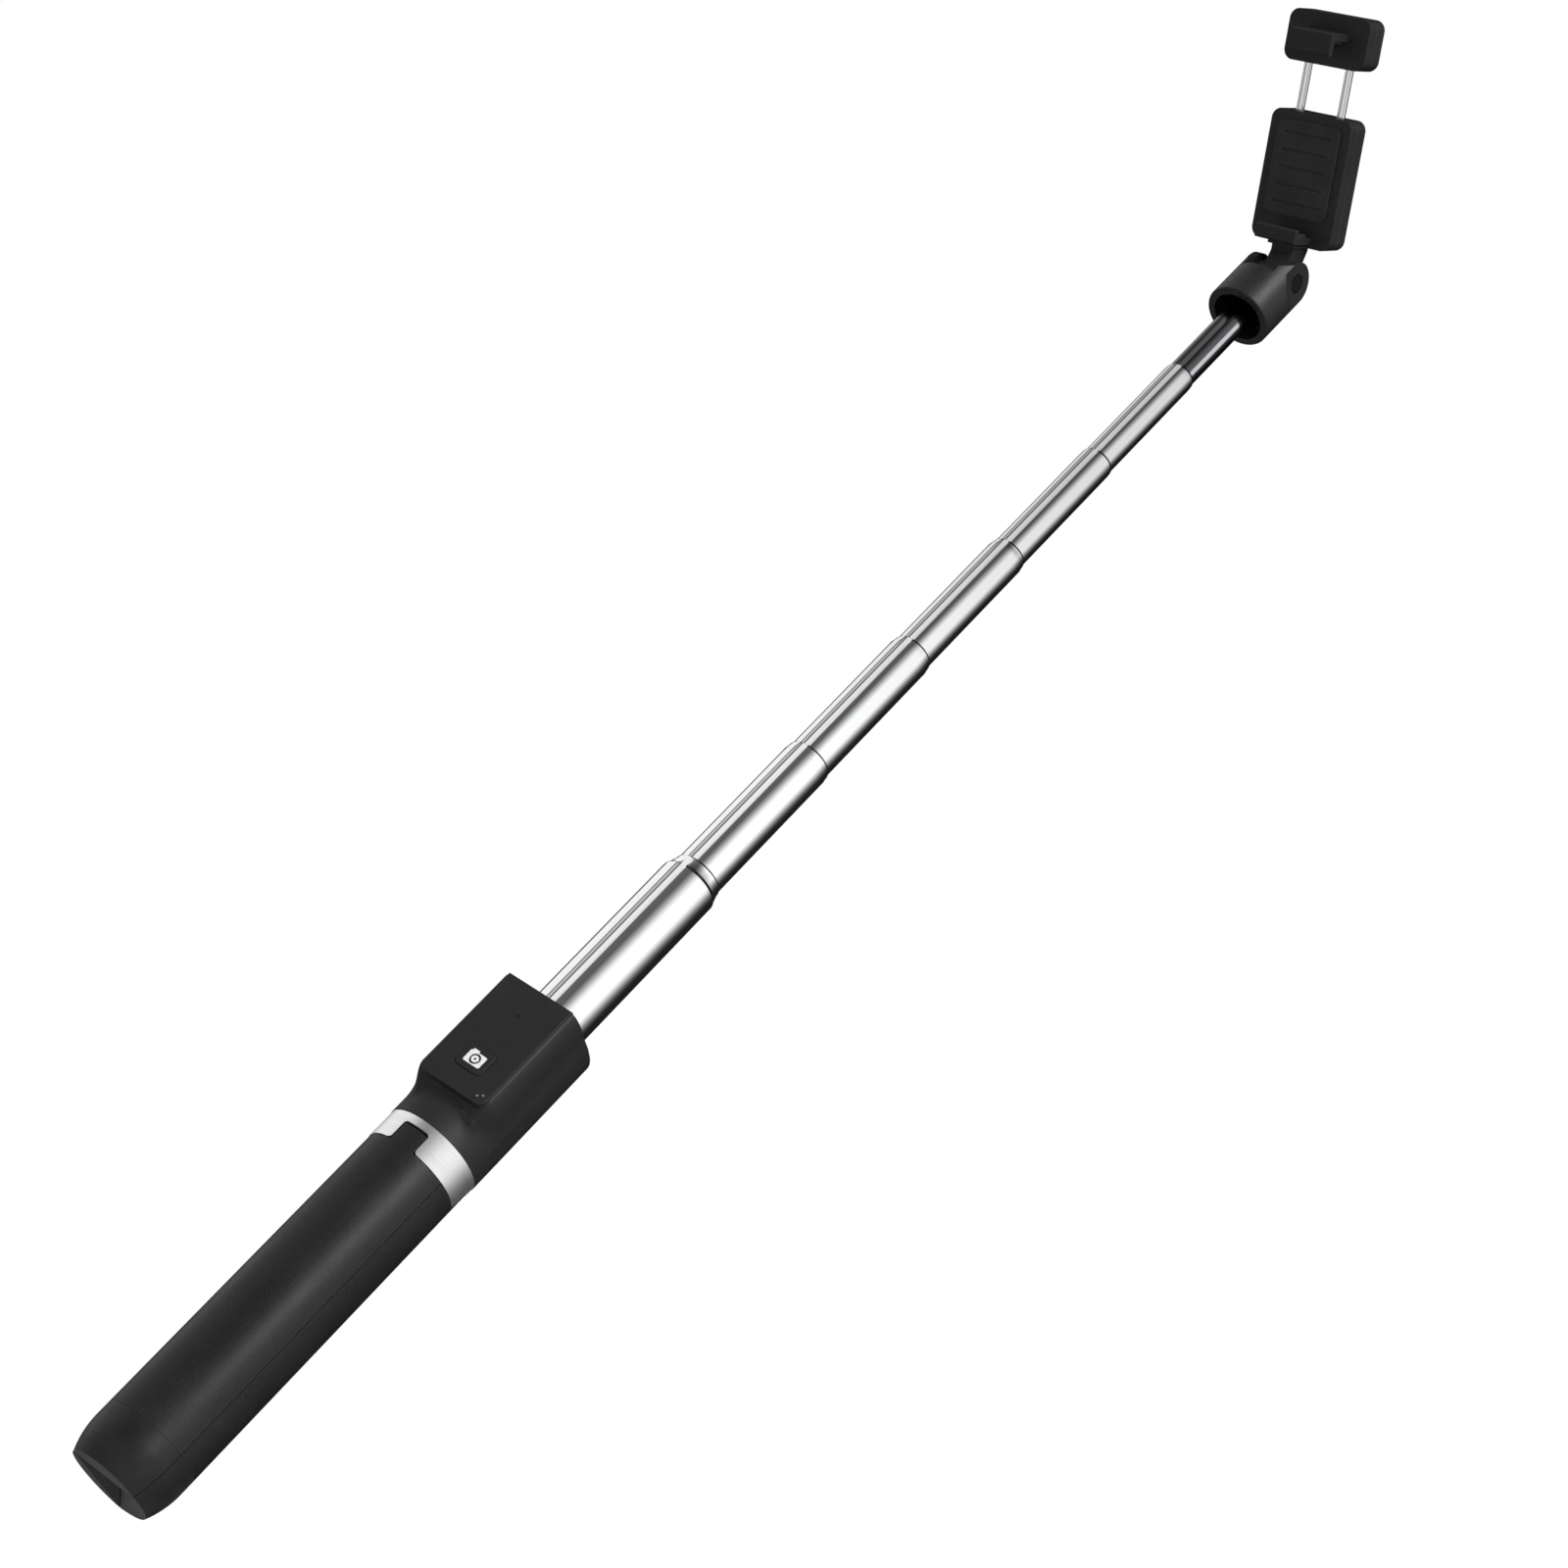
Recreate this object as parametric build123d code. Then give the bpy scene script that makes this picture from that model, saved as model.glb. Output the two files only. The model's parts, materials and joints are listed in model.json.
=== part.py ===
from build123d import *
import os
from math import cos, radians, sin, tan

# Tripod selfie stick, opened to full length with a phone-sized gap in its clamp.
# Millimetres. +Z runs up the stick to the phone clamp, -Y is the side with the remote.
# Z = 0 is the plane where the rubber feet meet the leg shells, on the stick's axis.

CLEAR = 0.05            # radial running clearance of a pin in its hole
FIT = 0.02              # gap between pieces that are assembled together
FAR = 30                # beyond every piece, for cutting shapes

# Handle: three tripod legs that close into a round grip
HANDLE_R = 17.0
LEG_ANGLES = {"front": -90, "right": 30, "left": 150}
LEG_SEAM = 0.175        # half the seam between two closed legs
LEG_TOP = 112.0
LEG_WALL = 2.1
LEG_CORE_R = 11.9       # room for the tube guide between the legs
LEG_CORE_BOTTOM = 82.0
LEG_FLANGE = 1.5
LEG_CHAMFER = (1.2, 0.9)
FOOT_SHOULDER_Z = -5.5
FOOT_RIM_R = 14.4
FOOT_RIM_Z = -17.2
FOOT_EDGE_DROP = 0.3    # how much lower the straight inner edge of a foot is than its round outer edge
SOLE_SLOPE = 34         # degrees that the sole rises toward the stick's axis

# Hinge ring and hub
RING_BOTTOM, RING_TOP = 112.3, 122.6
RING_R = 17.2
RING_INNER_R = 15.6
NOTCH_TOP = 119.8
NOTCH_HALF = 4.95
PIVOT_R, PIVOT_Z = 14.0, 115.4
LEG_PIN_R = 1.0
LEG_PIN_HALF = 6.2
KNUCKLE_HALF = 4.6
POCKET_HALF = 5.0
POCKET_TOP = 120.6
HUB_R = 15.5
HUB_TOP = 128.0
HUB_SCREW_R = 13.5
HUB_SCREW_ANGLES = (-30, 90, 210)
HUB_SCREW_HEAD_R, HUB_SCREW_SHANK_R = 1.75, 0.9
HUB_SCREW_BOTTOM, HUB_SCREW_SEAT, HUB_SCREW_TOP = 112.2, 114.2, 134.0

# Collar that carries the remote
COLLAR_R = 17.4
COLLAR_BOTTOM, COLLAR_TOP = 122.7, 178.2
COLLAR_BORE = 11.95
FLAT_Y = 20.8           # height of the remote's face above the axis
FLAT_HALF = 13.1        # half the width of the remote
FACE_HALF, FACE_Y = 13.5, 20.3      # half width and height of the collar's flat face
FLARES = ((124.3, 11.4, 12.2), (130.6, 11.9, 14.6), (136.9, FACE_HALF, FACE_Y))     # height, half width, face
FLANK_END = (16.95, 3.9)
POCKET_GAP = 0.25       # seam round the remote in its pocket

# Remote
REMOTE_BOTTOM, REMOTE_TOP = 134.9, 178.1
REMOTE_BACK_Y = 13.2
REMOTE_WALL = 1.2
REMOTE_SPLIT_Y = 14.4
BUTTON_Z = 147.3
BUTTON_SIZE = (10.4, 9.4)
BUTTON_PROUD = 0.35
ICON_SIZE = (6.5, 4.6)
LENS_RING_R, LENS_R, LENS_DOT_R = 1.95, 1.25, 0.45      # dark ring, lens and its dot in the pictogram
LED_Z = 166.7
LED_R = 0.55
BOARD_FRONT, BOARD_BACK = -17.4, -16.6
BATTERY_Z = 162.0
BATTERY_R, BATTERY_THICK, BATTERY_CAP_R = 8.0, 2.0, 7.4
CONTACTS = ((9.5, 137.3), (11.0, 138.4))    # places across and up of the two studs
CONTACT_R = 0.4

# Telescopic tubes, largest first: outer radius and height of the mouth
TUBE_R = (10.57, 8.70, 8.02, 7.26, 6.48, 5.98, 5.43)
MOUTH_Z = (253.5, 313.0, 371.4, 428.2, 483.2, 536.9, 586.4)
TUBE_WALL = (0.70, 0.35, 0.35, 0.35, 0.33, 0.33, 0.50)
OVERLAP = 20.0
FIRST_TUBE_BOTTOM = 159.0
MOUTH_TAPER = (6.0, 3.0, 3.0, 3.0, 2.6, 2.6)
MOUTH_EDGE = 0.45       # how far a rolled mouth stands proud of the next tube
SLIDE_GAP = 0.06
BUSH_LENGTH = 12.0
GROOVE_ANGLE = -100
GROOVE_DEPTH = 0.9
GROOVE_TOP_HALF, GROOVE_FLOOR_HALF = 2.2, 1.0
GUIDE_BOTTOM, GUIDE_TOP = 84.0, 167.0
GUIDE_OUTER_R = 11.4

# Swivelling head
CUP_R = 13.1
CUP_BOTTOM = 575.0
CUP_HOLLOW_R = 10.2
CUP_WEB_BOTTOM, CUP_FLOOR = 587.5, 591.5
TILT_Z = 600.5
EAR_R = 8.2
EAR_ROOT = 590.0
EAR_FACE = 10.2         # half the width across the two ears
SCREW_SEAT = 9.0        # depth of the tilt screw's counterbores, measured from the axis
CLEVIS_HALF = 7.1
SWIVEL_R = 2.5
SWIVEL_HEAD_R, SWIVEL_HEAD_THICK = 4.4, 1.5
TILT_PIN_R = 2.0
TILT_HEAD_R, TILT_HEAD_THICK = 3.7, 1.1
WASHER_R, WASHER_X, WASHER_HALF = 5.4, 6.95, 0.12
SWIVEL_ANGLE = -13      # how far the head is turned on the stick
TILT_ANGLE = 57         # how far the clamp leans toward the remote's side

# Phone clamp, in its own frame: X along the tilt pin, Z the way the jaws open, Y toward the phone's back
GAP_BOTTOM, GAP = 18.0, 71.0
PHONE_FRONT, PHONE_BACK = -3.2, 5.0
JAW_HALF = 8.8
LIP_THICK = 2.2
LOWER_LIP, UPPER_LIP = 2.0, 4.6
PAD = 1.0
BODY_HALF = 17.5
BODY_FRONT, BODY_SPLIT, BODY_REAR = 6.0, 11.25, 17.5
HOUSING_BOTTOM, HOUSING_TOP = 13.0, 62.0
CAP_BOTTOM, CAP_TOP = 80.0, 99.0
ROD_X, ROD_R = 9.0, 1.6
ROD_BOTTOM, ROD_TOP = 30.5, 95.0
ARM_LEFT, ARM_RIGHT = -3.4, 6.2
ARM_FRONT, ARM_BACK = -0.5, 4.0
ARM_HEEL = 10.0
ARM_TOP = 15.4
KNUCKLE_R = 6.2
KNUCKLE_HALF_WIDTH = 6.8
ROOT_WALL = 1.3         # wall of the lower jaw's root round the arm
CLAMP_SCREW_Z = (22, 46)
CLAMP_SCREW_R, CLAMP_SCREW_HEAD_R = 0.95, 1.9
CLIP_R, CLIP_INNER_R = 2.6, 1.21
CLIP_BOTTOM, CLIP_TOP = 31.32, 32.08
SPRING_TOP, SPRING_COILS, SPRING_WIRE, SPRING_R = 55.7, 9, 0.25, 2.15

os.makedirs("parts", exist_ok=True)


def save(name, *solids):
    """Writes one named piece, or a group of identical pieces, to its own file."""
    flat = [s for shape in solids for s in shape.solids()]
    export_step(flat[0] if len(flat) == 1 else Compound(children=flat), f"parts/{name}.step")


def rod(radius, bottom, top):
    """A round bar on the Z axis."""
    return Pos(0, 0, (bottom + top) / 2) * Cylinder(radius, top - bottom)


def tube(outer, inner, bottom, top):
    return rod(outer, bottom, top) - rod(inner, bottom - 1, top + 1)


def block(x0, x1, y0, y1, z0, z1):
    """A box given by its low and high limits."""
    centre = Pos((x0 + x1) / 2, (y0 + y1) / 2, (z0 + z1) / 2)
    return centre * Box(x1 - x0, y1 - y0, z1 - z0)


def cross_bar(radius, half, x=0.0, z=0.0):
    """A round bar along Y, centred on Y = 0."""
    return Pos(x, 0, z) * Rot(90, 0, 0) * Cylinder(radius, 2 * half)


def side_bar(radius, x0, x1, y=0.0, z=0.0):
    """A round bar along X."""
    return Pos((x0 + x1) / 2, y, z) * Rot(0, 90, 0) * Cylinder(radius, x1 - x0)


def plate(points, y_half):
    """An outline in the XZ plane, thickened to both sides of Y = 0."""
    return extrude(Plane.XZ * Polygon(*points, align=None), y_half, both=True)


def plate_yz(points):
    """An outline in the YZ plane, thickened far to both sides of X = 0."""
    return extrude(Plane.YZ * Polygon(*points, align=None), 20, both=True)


# ---------------------------------------------------------------- legs


def wedge(bottom, top, seam=LEG_SEAM):
    """The 120 degree slice of space that one leg fills, opening toward +X."""
    apex = seam / sin(radians(60))
    far = [(apex + FAR * cos(radians(a)), FAR * sin(radians(a))) for a in (-60, 60)]
    far_right = [(2 * FAR, far[0][1]), (2 * FAR, far[1][1])]
    outline = Polygon((apex, 0), far[0], *far_right, far[1], align=None)
    return Pos(0, 0, bottom) * extrude(outline, top - bottom)


def leg_shell():
    outer = rod(HANDLE_R, 0.15, LEG_TOP) & wedge(0, LEG_TOP + 1)
    room = wedge(6, 104, LEG_SEAM + LEG_FLANGE) & rod(HANDLE_R - LEG_WALL, 6, 104)
    guide_room = rod(LEG_CORE_R, LEG_CORE_BOTTOM, LEG_TOP + 1)
    centre_room = rod(4.0, 6, LEG_CORE_BOTTOM)
    dx, dz = LEG_CHAMFER
    rim = revolve(Plane.XZ * Polygon((HANDLE_R, LEG_TOP), (HANDLE_R - dx, LEG_TOP - dz), (0, LEG_TOP - dz),
                                     (0, LEG_TOP + 1), (HANDLE_R, LEG_TOP + 1), align=None), Axis.Z)
    knuckle = plate([(11.6, 108), (HANDLE_R + 0.5, 108), (HANDLE_R + 0.5, 119.1), (15.6, 118.6),
                     (14.0, 117.9), (12.6, 117.2), (11.6, 115.6)], KNUCKLE_HALF)
    shell = outer - room - guide_room - centre_room - rim
    shell += knuckle & rod(HANDLE_R, 100, 120) - rod(LEG_CORE_R - 0.35, 90, 125)
    return shell - cross_bar(LEG_PIN_R + CLEAR, 8, PIVOT_R, PIVOT_Z)


def leg_inner_cover():
    """The curved panel that closes the inside of a leg."""
    panel = tube(13.1, LEG_CORE_R, 6.2, 103.8)
    return panel & wedge(6, 104, LEG_SEAM + LEG_FLANGE + 0.1)


def foot_pad():
    """Rubber foot: rounded outside, a near-flat rim segment, and a sole that slopes up toward the axis."""
    with BuildSketch(Plane.XZ) as outline:
        with BuildLine():
            Line((0, 0), (HANDLE_R, 0))
            Line((HANDLE_R, 0), (HANDLE_R, FOOT_SHOULDER_Z))
            ThreePointArc((HANDLE_R, FOOT_SHOULDER_Z), (16.3, -11.5), (FOOT_RIM_R, FOOT_RIM_Z))
            Line((FOOT_RIM_R, FOOT_RIM_Z), (FOOT_RIM_R, FOOT_RIM_Z - 2))
            Line((FOOT_RIM_R, FOOT_RIM_Z - 2), (0, FOOT_RIM_Z - 2))
            Line((0, FOOT_RIM_Z - 2), (0, 0))
        make_face()
    body = revolve(outline.sketch, Axis.Z) & wedge(FOOT_RIM_Z - 3, 1)
    edge_x, edge_z = FOOT_RIM_R * cos(radians(60)), FOOT_RIM_Z - FOOT_EDGE_DROP
    rise = (edge_x + 1) * tan(radians(SOLE_SLOPE))
    below = FOOT_RIM_Z - 4
    reach = 2 * FOOT_RIM_R - edge_x
    under = plate([(-1, below), (reach, below), (reach, FOOT_RIM_Z + FOOT_EDGE_DROP), (edge_x, edge_z),
                   (-1, edge_z + rise)], 20)
    return body - under


def leg_pin():
    return cross_bar(LEG_PIN_R, LEG_PIN_HALF, PIVOT_R, PIVOT_Z)


def make_legs():
    shell, cover, foot, pin = leg_shell(), leg_inner_cover(), foot_pad(), leg_pin()
    for side, angle in LEG_ANGLES.items():
        turn = Rot(0, 0, angle)
        save(f"{side}_leg_shell", turn * shell)
        save(f"{side}_leg_inner_cover", turn * cover)
        save(f"{side}_foot_pad", turn * foot)
        save(f"{side}_leg_hinge_pin", turn * pin)


# ---------------------------------------------------------------- hub and tube guide


def around_legs(shape):
    return [Rot(0, 0, angle) * shape for angle in LEG_ANGLES.values()]


def leg_pin_hole():
    """The blind cross hole that a leg's pin is pressed into."""
    return cross_bar(LEG_PIN_R + 0.01, LEG_PIN_HALF + 0.05, PIVOT_R, PIVOT_Z)


def hinge_ring():
    ring = tube(RING_R, RING_INNER_R, RING_BOTTOM, RING_TOP)
    notch = block(10, 20, -NOTCH_HALF, NOTCH_HALF, RING_BOTTOM - 2, NOTCH_TOP)
    corner = 1.3
    notch = fillet(notch.edges().filter_by(Axis.X).group_by(Axis.Z)[-1], corner)
    mouth = block(10, 20, -NOTCH_HALF - corner, NOTCH_HALF + corner, RING_BOTTOM - 1, RING_BOTTOM + corner)
    for y in (-NOTCH_HALF - corner, NOTCH_HALF + corner):
        mouth -= side_bar(corner, 9, 21, y, RING_BOTTOM + corner)
    for cut in around_legs(notch + mouth + leg_pin_hole()):
        ring -= cut
    return ring


def hub():
    body = tube(HUB_R, GUIDE_OUTER_R + FIT, RING_BOTTOM + 0.3, HUB_TOP)
    pocket = block(10, 18, -POCKET_HALF, POCKET_HALF, RING_BOTTOM - 1, POCKET_TOP)
    for cut in around_legs(pocket + leg_pin_hole()):
        body -= cut
    for angle in HUB_SCREW_ANGLES:
        body -= Rot(0, 0, angle) * Pos(HUB_SCREW_R, 0, 0) * hub_screw(FIT)
    return body


def hub_screw(gap=0.0):
    """A small pan-head screw standing in the hub, driven from below."""
    head = rod(HUB_SCREW_HEAD_R + gap, HUB_SCREW_BOTTOM, HUB_SCREW_SEAT + gap)
    return head + rod(HUB_SCREW_SHANK_R + gap, HUB_SCREW_SEAT - 1, HUB_SCREW_TOP + gap)


def groove_cut(radius, bottom, top):
    """The lengthwise dent of a tube of this outer radius."""
    floor = radius - GROOVE_DEPTH
    slope = (GROOVE_TOP_HALF - GROOVE_FLOOR_HALF) / GROOVE_DEPTH
    out = 1.2
    wide = GROOVE_TOP_HALF + slope * out
    outline = Polygon((floor, -GROOVE_FLOOR_HALF), (radius + out, -wide), (radius + out, wide),
                      (floor, GROOVE_FLOOR_HALF), align=None)
    return Rot(0, 0, GROOVE_ANGLE) * Pos(0, 0, bottom) * extrude(outline, top - bottom)


def grooved_bar(radius, bottom, top):
    """A solid bar with the tube's section; the same dent moves inward with the radius, so the tubes nest."""
    return rod(radius, bottom, top) - groove_cut(radius, bottom - 1, top + 1)


def tube_guide():
    sleeve = rod(GUIDE_OUTER_R, GUIDE_BOTTOM, GUIDE_TOP)
    return sleeve - grooved_bar(TUBE_R[0] + 0.12, GUIDE_BOTTOM - 1, GUIDE_TOP + 1)


def end_bushing():
    ring = rod(COLLAR_BORE - FIT, GUIDE_TOP + 0.2, COLLAR_TOP - 0.1)
    return ring - grooved_bar(TUBE_R[0] + SLIDE_GAP, GUIDE_TOP - 1, COLLAR_TOP + 1)


# ---------------------------------------------------------------- collar and remote


def flare_section(face_half, face_y, z):
    """The straight-sided part of the collar's section: flanks, shoulders and the flat face."""
    shoulder = 1 + (face_y - 12) * 0.16
    right = [(face_half, -face_y), (face_half + shoulder, -face_y * 0.8), (FLANK_END[0], -FLANK_END[1])]
    left = [(-x, y) for x, y in reversed(right)]
    return Pos(0, 0, z) * Polygon(*right, *left, align=None)


def remote_block(gap=0.0):
    """Outer block of the remote, with rounded lower corners."""
    body = block(-FLAT_HALF - gap, FLAT_HALF + gap, -FLAT_Y - 3 * gap, -REMOTE_BACK_Y + gap,
                 REMOTE_BOTTOM - gap, REMOTE_TOP + 20 * gap)
    low = body.edges().filter_by(Axis.Y).group_by(Axis.Z)[0]
    return fillet(low, 3.0)


def collar_shell():
    shell = rod(COLLAR_R, COLLAR_BOTTOM, COLLAR_TOP)
    flare = loft([flare_section(half, face, z) for z, half, face in FLARES], ruled=True)
    flare_top = FLARES[-1][0]
    straight = Pos(0, 0, flare_top) * extrude(flare_section(FACE_HALF, FACE_Y, 0), COLLAR_TOP - flare_top)
    shell += flare + straight
    rim = shell.edges().group_by(Axis.Z)[-1]
    shell = fillet(rim, 0.9)
    shell -= rod(COLLAR_BORE, COLLAR_BOTTOM - 1, COLLAR_TOP + 1)
    shell -= rod(HUB_R + FIT, COLLAR_BOTTOM - 1, HUB_TOP + FIT)
    shell -= remote_block(POCKET_GAP)
    for angle in HUB_SCREW_ANGLES:
        shell -= Rot(0, 0, angle) * Pos(HUB_SCREW_R, 0, 0) * hub_screw(FIT)
    return shell


def remote_top_shell():
    body = remote_block()
    face = body.edges().group_by(Axis.Y)[0]
    body = fillet(face, 0.4)
    body -= block(-FAR, FAR, -REMOTE_SPLIT_Y, 0, COLLAR_BOTTOM, REMOTE_TOP + 1)
    body -= block(-FLAT_HALF + REMOTE_WALL, FLAT_HALF - REMOTE_WALL, -FLAT_Y + REMOTE_WALL, -10,
                  REMOTE_BOTTOM + REMOTE_WALL + 1, REMOTE_TOP - REMOTE_WALL)
    body -= Pos(0, -FLAT_Y, BUTTON_Z) * button_prism(0.15, 6)
    for pin in contact_pins(0.01):
        body -= pin
    return body - face_pin(0, LED_Z, LED_R + CLEAR, 6)


def face_pin(x, z, radius, length):
    """A round bar along Y, centred on the plane of the remote's face."""
    return Pos(x, -FLAT_Y, z) * Rot(90, 0, 0) * Cylinder(radius, length)


def contact_pins(gap=0.0):
    """Two tiny studs in the face's lower right corner."""
    return [face_pin(x, z, CONTACT_R + gap, 0.8 + gap) for x, z in CONTACTS]


def button_prism(gap, depth):
    """A rounded-rectangle prism along Y, centred on the origin."""
    outline = RectangleRounded(BUTTON_SIZE[0] + 2 * gap, BUTTON_SIZE[1] + 2 * gap, 1.8 + gap)
    return extrude(Plane.XZ * outline, depth / 2, both=True)


def remote_bottom_cover():
    behind = block(-FAR, FAR, -REMOTE_SPLIT_Y + FIT, -REMOTE_BACK_Y, COLLAR_BOTTOM, REMOTE_TOP + 1)
    return remote_block() & behind


def shutter_button():
    """Key top, proud of the remote's face, with a retaining flange and a stem to the switch."""
    top = Pos(0, -FLAT_Y - BUTTON_PROUD + 1.0, BUTTON_Z) * button_prism(0, 2.0)
    top = fillet(top.edges().group_by(Axis.Y)[0], 0.3)
    flange = Pos(0, -FLAT_Y + 1.6, BUTTON_Z) * button_prism(0.6, 0.6)
    stem = Pos(0, -FLAT_Y + 1.85, BUTTON_Z) * Rot(90, 0, 0) * Cylinder(1.4, 0.4)
    return top + flange + stem - camera_icon(FIT)


def camera_icon(gap=0.0):
    """Inlaid camera pictogram: a body, a finder bump and a lens ring with its dot."""
    width, tall = ICON_SIZE
    z = BUTTON_Z - 0.3
    front = -FLAT_Y - BUTTON_PROUD - 0.08
    back = front + 0.4 + gap
    body = RectangleRounded(width + 2 * gap, tall + 2 * gap, 0.6)
    body += Pos(-1.5, tall / 2 + 0.2) * Rectangle(2.3, 0.9 + gap)
    if gap == 0:
        body -= Circle(LENS_RING_R)
    depth = (back - front) / 2
    icon = Pos(0, (front + back) / 2, z) * extrude(Plane.XZ * body, depth, both=True)
    if gap == 0:
        lens_disc = Plane.XZ * (Circle(LENS_R) - Circle(LENS_DOT_R))
        lens = Pos(0, (front + back) / 2, z) * extrude(lens_disc, depth, both=True)
        return Compound(children=[*icon.solids(), *lens.solids()])
    return icon


def circuit_board():
    board = block(-10.5, 10.5, BOARD_FRONT, BOARD_BACK, REMOTE_BOTTOM + 4, REMOTE_TOP - 3)
    return fillet(board.edges().filter_by(Axis.Y), 1.5)


def tact_switch():
    half, front = 2.6, BOARD_FRONT - 0.9
    case = block(-half, half, front, BOARD_FRONT - FIT, BUTTON_Z - half, BUTTON_Z + half)
    return case - block(-3, 3, front - 0.2, front + 0.2, BUTTON_Z + half - 0.4, BUTTON_Z + 3)


def led_light_pipe():
    pipe = Pos(0, -18.95, LED_Z) * Rot(90, 0, 0) * Cylinder(LED_R, 2.9)
    return pipe + block(-1.0, 1.0, BOARD_FRONT - 0.8, BOARD_FRONT - FIT, LED_Z - 0.8, LED_Z + 0.8)


def coin_battery():
    cell = Cylinder(BATTERY_R, BATTERY_THICK)
    step = tube(BATTERY_R + 1, BATTERY_CAP_R, 0.5, 2)
    return Pos(0, -15.5, BATTERY_Z) * Rot(90, 0, 0) * (cell - step)


def make_remote():
    save("remote_top_shell", remote_top_shell())
    save("remote_bottom_cover", remote_bottom_cover())
    save("remote_contact_pins", *contact_pins())
    save("shutter_button", shutter_button())
    save("shutter_camera_icon", camera_icon())
    save("remote_circuit_board", circuit_board())
    save("shutter_tact_switch", tact_switch())
    save("status_light_pipe", led_light_pipe())
    save("remote_coin_battery", coin_battery())


# ---------------------------------------------------------------- telescopic tubes


def tube_bottom(index):
    return FIRST_TUBE_BOTTOM if index == 0 else MOUTH_Z[index - 1] - OVERLAP


def outer_form(radius, bottom, mouth, taper, mouth_r):
    """Round outer form of a tube whose top end is rolled in to the next tube."""
    outline = Polygon((0, bottom), (radius, bottom), (radius, mouth - taper), (mouth_r, mouth - 0.3),
                      (mouth_r - 0.25, mouth), (0, mouth), align=None)
    return revolve(Plane.XZ * outline, Axis.Z)


def section_tube(index):
    radius, wall, mouth = TUBE_R[index], TUBE_WALL[index], MOUTH_Z[index]
    bottom = tube_bottom(index)
    if index == len(TUBE_R) - 1:
        body = grooved_bar(radius, bottom, mouth)
        return body - grooved_bar(radius - wall, bottom - 1, mouth + 1)
    next_r = TUBE_R[index + 1]
    body = outer_form(radius, bottom, mouth, MOUTH_TAPER[index], next_r + MOUTH_EDGE)
    body -= groove_cut(radius, bottom - 1, mouth + 1)
    inner_top = mouth - MOUTH_TAPER[index] - 0.5
    room = rod(radius - wall, bottom - 1, inner_top)
    body -= room - groove_cut(radius - 1.2 * wall, bottom - 2, inner_top + 1)
    return body - grooved_bar(next_r + SLIDE_GAP, bottom, mouth + 1)


def second_tube_bush():
    """Plastic slide that centres the second tube in the much wider first one."""
    bottom = tube_bottom(1)
    top = bottom + BUSH_LENGTH
    outer = rod(TUBE_R[0] - TUBE_WALL[0] - SLIDE_GAP, bottom, top)
    outer -= groove_cut(TUBE_R[0] - 1.2 * TUBE_WALL[0] - SLIDE_GAP, bottom - 1, top + 1)
    return outer - grooved_bar(TUBE_R[1] + 0.01, bottom - 1, top + 1)


def tube_end_plug():
    """Plug in the last tube that takes the swivel screw."""
    mouth = MOUTH_Z[-1]
    plug = grooved_bar(TUBE_R[-1] - TUBE_WALL[-1] - FIT, mouth - 12, mouth + 0.1)
    plug += grooved_bar(5.3, mouth + 0.1, CUP_WEB_BOTTOM - 0.2)
    return plug - rod(SWIVEL_R + 0.01, mouth - 8, CUP_WEB_BOTTOM + 1)


def swivel_screw():
    seat = CUP_FLOOR + 0.15
    top = seat + SWIVEL_HEAD_THICK
    shank = rod(SWIVEL_R, MOUTH_Z[-1] - 7.9, seat)
    head = rod(SWIVEL_HEAD_R, seat, top)
    return shank + head - block(-3.2, 3.2, -0.45, 0.45, top - 0.7, top + 1)


def make_tubes():
    for index in range(len(TUBE_R)):
        save(f"tube_{index + 1}", section_tube(index))
    save("tube_2_slide_bush", second_tube_bush())
    save("tube_7_end_plug", tube_end_plug())
    save("swivel_screw", swivel_screw())


# ---------------------------------------------------------------- head


def on_head(shape):
    """Turns a piece made for an unturned head to the head's place."""
    return Rot(0, 0, SWIVEL_ANGLE) * shape


def in_clamp(shape):
    """Moves a piece from the clamp's own frame to its place on the stick."""
    return Pos(0, 0, TILT_Z) * Rot(0, 0, SWIVEL_ANGLE) * Rot(TILT_ANGLE, 0, 0) * shape


def head_cup():
    """Cup with two ears; its hollow underside swallows the stubs of the closed tubes."""
    body = rod(CUP_R, CUP_BOTTOM, TILT_Z + EAR_R)
    body = fillet(body.edges().group_by(Axis.Z)[0], 0.8)
    side = [(14, CUP_BOTTOM - 1), (14, EAR_ROOT), (EAR_R, TILT_Z + 0.5)]
    body &= plate_yz([(-y, z) for y, z in side] + side[::-1]) + side_bar(EAR_R, -20, 20, 0, TILT_Z)
    front = [(14, CUP_BOTTOM - 1), (14, EAR_ROOT - 2), (EAR_FACE, EAR_ROOT + 5), (EAR_FACE, TILT_Z + 10)]
    body &= plate([(-x, z) for x, z in front] + front[::-1], 20)
    body -= block(-CLEVIS_HALF, CLEVIS_HALF, -20, 20, CUP_FLOOR, TILT_Z + 20)
    body -= rod(CUP_HOLLOW_R, CUP_BOTTOM - 1, CUP_WEB_BOTTOM)
    for step in range(8):
        rib = block(8.6, CUP_HOLLOW_R + 0.5, -0.6, 0.6, CUP_BOTTOM + 6.5, CUP_WEB_BOTTOM)
        body += Rot(0, 0, 45 * step + 22.5) * rib
    body -= rod(SWIVEL_R + CLEAR, CUP_BOTTOM, CUP_FLOOR + 1)
    body -= side_bar(TILT_PIN_R + 0.01, -20, 20, 0, TILT_Z)
    for x0, x1 in ((-20, -SCREW_SEAT), (SCREW_SEAT, 20)):
        body -= side_bar(3.9, x0, x1, 0, TILT_Z)
    return body


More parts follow.
